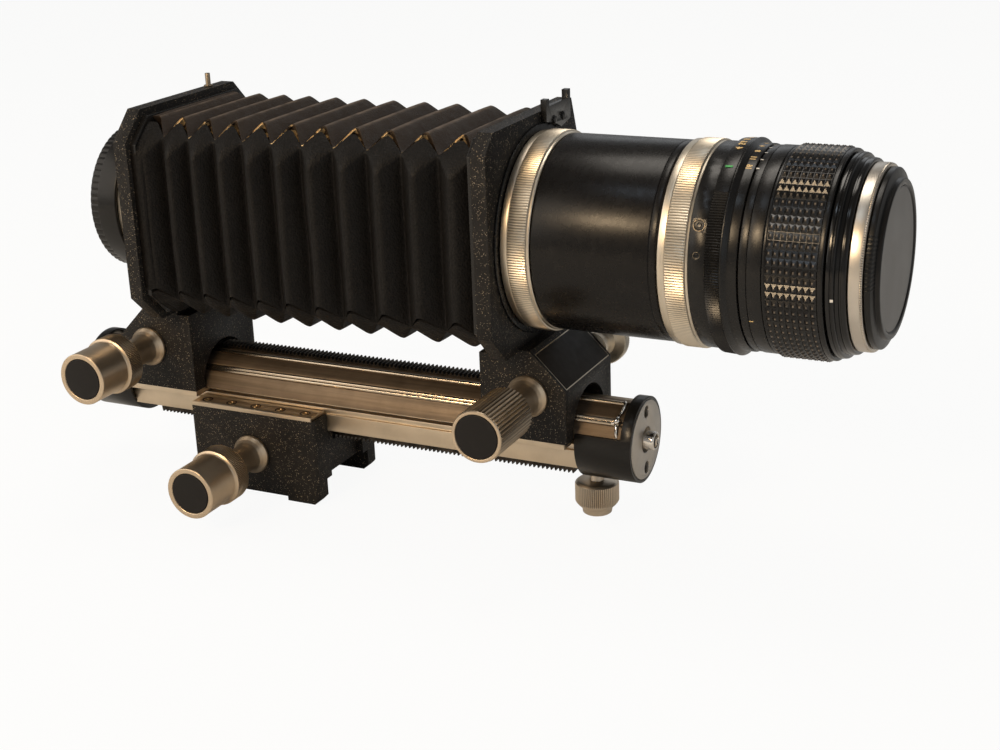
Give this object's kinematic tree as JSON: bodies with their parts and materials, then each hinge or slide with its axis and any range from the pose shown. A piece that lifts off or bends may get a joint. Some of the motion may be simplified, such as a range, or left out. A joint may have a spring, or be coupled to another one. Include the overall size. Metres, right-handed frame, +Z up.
{
  "type": "macro bellows unit",
  "caption": "Monorail macro bellows with two geared standards, pleated bellows, geared tripod carriage, extension tube and capped macro lens.",
  "frame": {"origin": "mouth of the tripod socket under the carriage", "axes": "+X forwards along the lens axis, +Y away from the drive knobs, +Z up"},
  "size_m": [0.2926, 0.0941, 0.1418],
  "materials": {
    "crinkle_black": "crinkle",
    "satin_black": "satin",
    "gloss_black": "gloss",
    "champagne": "satin",
    "rail_satin": "satin",
    "silver": "satin",
    "chrome": "polished",
    "rack_steel": "dark",
    "bellows_cloth": "satin",
    "grip_rubber": "matt",
    "cap_grey": "matt",
    "optical_glass": "coated"
  },
  "bodies": {
    "rail": {"rail_bed": "rail_satin", "scale_bar": "rail_satin", "scale_rods": "chrome", "upper_rack": "rack_steel", "lower_rack": "rack_steel", "front_collar": "satin_black", "rear_collar": "satin_black", "front_disc": "silver", "rear_disc": "silver", "accessory_pin": "chrome", "bellows": "bellows_cloth"},
    "accessory_lock": {"accessory_lock_knob": "champagne"},
    "rear_standard": {"rear_casting": "crinkle_black", "rear_base_plates": "rail_satin", "rear_bellows_frame": "satin_black", "camera_mount": "silver", "release_pin": "chrome"},
    "rear_drive": {"rear_pinion": "silver", "rear_knob": "champagne", "rear_knob_cap": "satin_black"},
    "rear_lock": {"rear_lock_knob": "silver"},
    "camera_lock_ring": {"camera_ring": "satin_black"},
    "front_standard": {"front_casting": "crinkle_black", "front_base_plates": "rail_satin", "front_bellows_frame": "satin_black", "name_plate": "satin_black", "lens_flange": "satin_black", "fork_bracket": "satin_black", "bracket_screws": "satin_black", "tube_barrel": "satin_black", "lens_barrel": "gloss_black", "lens_screws": "chrome", "distance_barrel": "gloss_black", "rear_element": "optical_glass"},
    "front_drive": {"front_pinion": "silver", "front_knob": "champagne", "front_knob_cap": "satin_black"},
    "front_lock": {"front_lock_knob": "silver"},
    "carriage": {"carriage_casting": "crinkle_black", "near_gib": "rail_satin", "far_gib": "rail_satin", "gib_screws": "rail_satin", "tripod_bush": "silver"},
    "carriage_drive": {"carriage_pinion": "silver", "carriage_knob": "champagne", "carriage_knob_cap": "satin_black"},
    "carriage_lock": {"carriage_lock_knob": "silver"},
    "tube_ring": {"tube_breech_ring": "silver"},
    "lens_ring": {"lens_breech_ring": "silver"},
    "aperture": {"aperture_ring": "gloss_black"},
    "focus": {"focus_ring": "gloss_black", "focus_grip": "grip_rubber"},
    "front_group": {"front_barrel": "gloss_black", "nose_ring": "chrome", "front_element": "optical_glass"},
    "cap": {"cap_ring": "gloss_black", "cap_disc": "cap_grey"}
  },
  "joints": [
    {"name": "rear_slide", "type": "slide", "parent": "rail", "child": "rear_standard", "axis": [1, 0, 0], "range_m": [0, 0.05]},
    {"name": "front_slide", "type": "slide", "parent": "rail", "child": "front_standard", "axis": [1, 0, 0], "range_m": [-0.05, 0], "deforming": ["bellows"]},
    {"name": "carriage_slide", "type": "slide", "parent": "rail", "child": "carriage", "axis": [1, 0, 0], "range_m": [-0.028, 0.08]},
    {"name": "rear_drive_turn", "type": "hinge", "parent": "rear_standard", "child": "rear_drive", "pos_m": [-0.0448, 0, 0.0508], "axis": [0, 1, 0], "range_deg": [0, 718]},
    {"name": "front_drive_turn", "type": "hinge", "parent": "front_standard", "child": "front_drive", "pos_m": [0.1026, 0, 0.0508], "axis": [0, 1, 0], "range_deg": [-718, 0]},
    {"name": "carriage_drive_turn", "type": "hinge", "parent": "carriage", "child": "carriage_drive", "pos_m": [-0.0044, 0, 0.0158], "axis": [0, 1, 0], "range_deg": [-1147, 403]},
    {"name": "rear_lock_turn", "type": "hinge", "parent": "rear_standard", "child": "rear_lock", "pos_m": [-0.0459, 0.02, 0.0555], "axis": [0, 1, 0], "range_deg": [-120, 0]},
    {"name": "front_lock_turn", "type": "hinge", "parent": "front_standard", "child": "front_lock", "pos_m": [0.109, 0.02, 0.0555], "axis": [0, 1, 0], "range_deg": [-120, 0]},
    {"name": "carriage_lock_turn", "type": "hinge", "parent": "carriage", "child": "carriage_lock", "pos_m": [-0.0144, 0.02, 0.0158], "axis": [0, 1, 0], "range_deg": [-120, 0]},
    {"name": "accessory_lock_turn", "type": "hinge", "parent": "rail", "child": "accessory_lock", "pos_m": [0.1179, 0, 0.0133], "axis": [0, 0, 1], "range_deg": [-180, 0]},
    {"name": "camera_ring_turn", "type": "hinge", "parent": "rear_standard", "child": "camera_lock_ring", "pos_m": [-0.0513, 0, 0.1005], "axis": [1, 0, 0], "range_deg": [0, 60]},
    {"name": "tube_ring_turn", "type": "hinge", "parent": "front_standard", "child": "tube_ring", "pos_m": [0.10045, 0, 0.1005], "axis": [1, 0, 0], "range_deg": [-55, 0]},
    {"name": "lens_ring_turn", "type": "hinge", "parent": "front_standard", "child": "lens_ring", "pos_m": [0.15045, 0, 0.1005], "axis": [1, 0, 0], "range_deg": [-55, 0]},
    {"name": "aperture_turn", "type": "hinge", "parent": "front_standard", "child": "aperture", "pos_m": [0.16845, 0, 0.1005], "axis": [1, 0, 0], "range_deg": [0, 70]},
    {"name": "focus_turn", "type": "hinge", "parent": "front_standard", "child": "focus", "pos_m": [0.19045, 0, 0.1005], "axis": [1, 0, 0], "range_deg": [0, 270]},
    {"name": "focus_travel", "type": "slide", "parent": "front_standard", "child": "front_group", "axis": [1, 0, 0], "range_m": [0, 0.0101]},
    {"name": "cap_pull", "type": "slide", "parent": "front_group", "child": "cap", "axis": [1, 0, 0], "range_m": [0, 0.03]}
  ],
  "couplings": [
    {"joint": "rear_drive_turn", "follows": "rear_slide", "rad_per_m": 250},
    {"joint": "front_drive_turn", "follows": "front_slide", "rad_per_m": 250},
    {"joint": "carriage_drive_turn", "follows": "carriage_slide", "rad_per_m": -250},
    {"joint": "focus_travel", "follows": "focus_turn", "m_per_rad": 0.0021221}
  ]
}
